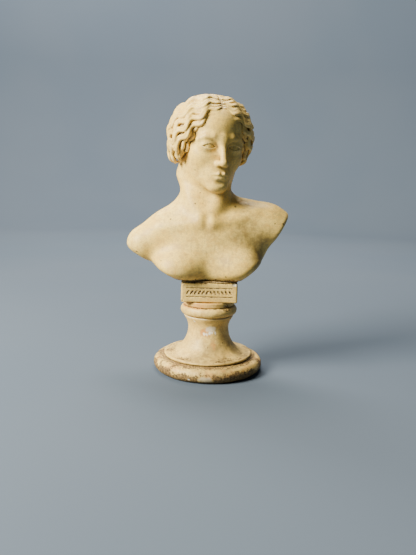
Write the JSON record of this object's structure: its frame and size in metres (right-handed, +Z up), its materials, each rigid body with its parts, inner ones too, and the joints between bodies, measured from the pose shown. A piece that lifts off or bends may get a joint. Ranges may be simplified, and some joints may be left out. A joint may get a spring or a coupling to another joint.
{
  "type": "portrait bust on a turned socle",
  "caption": "Classical portrait bust with wavy parted hair and cut-off shoulders, on a block and a round waisted socle.",
  "frame": {"origin": "centre of the round face under the socle that the object rests on", "axes": "+Z up, -Y out of the front panel and the chest, +X to the right of someone who looks at the front"},
  "size_m": [0.1448, 0.1033, 0.2512],
  "materials": {
    "plaster_bust": "aged waxed cream plaster, brown in the hollows",
    "plaster_socle": "aged waxed cream plaster, chipped and stained",
    "mortar": "crumbly brown mortar",
    "steel": "dull steel",
    "brass": "plain turned brass",
    "felt": "brown wool felt"
  },
  "bodies": {
    "root": {"bust": "plaster_bust", "mortar_bed": "mortar", "tablet": "plaster_socle", "top_disc": "plaster_socle", "collar_ring": "plaster_socle", "spool": "plaster_socle", "foot_ring": "plaster_socle", "felt_pad": "felt", "tie_rod": "steel", "washer": "steel", "hex_nut": "steel", "anchor_sleeve": "brass", "locating_pin_left": "brass", "locating_pin_right": "brass"}
  },
  "joints": []
}
